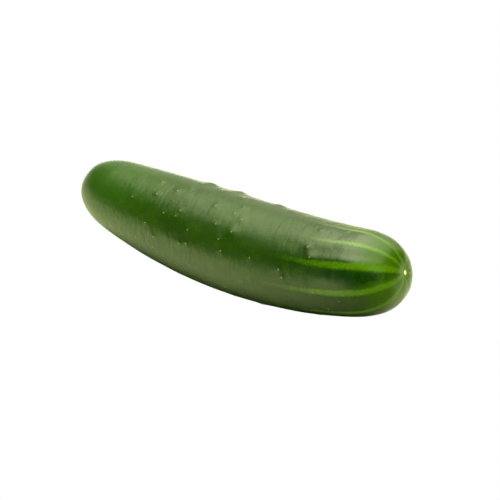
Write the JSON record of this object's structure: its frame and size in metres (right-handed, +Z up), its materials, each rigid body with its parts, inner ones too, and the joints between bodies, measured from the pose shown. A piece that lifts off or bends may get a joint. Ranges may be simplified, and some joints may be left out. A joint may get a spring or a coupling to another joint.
{
  "type": "cucumber",
  "caption": "Whole ripe slicing cucumber, gently bowed, with warts, a stalk scar and a flower scar, lying on its belly.",
  "frame": {"origin": "centre of the footprint of the whole fruit, on the surface it lies on", "axes": "+X along the fruit from the stem end to the blossom end, +Z up, +Y to the far side of the bow's plane"},
  "size_m": [0.2014, 0.0532, 0.0564],
  "materials": {
    "skin": "waxy satin skin, dark green with paler stripes that fan out from the flower scar"
  },
  "bodies": {
    "root": {"cucumber": "skin"}
  },
  "joints": []
}
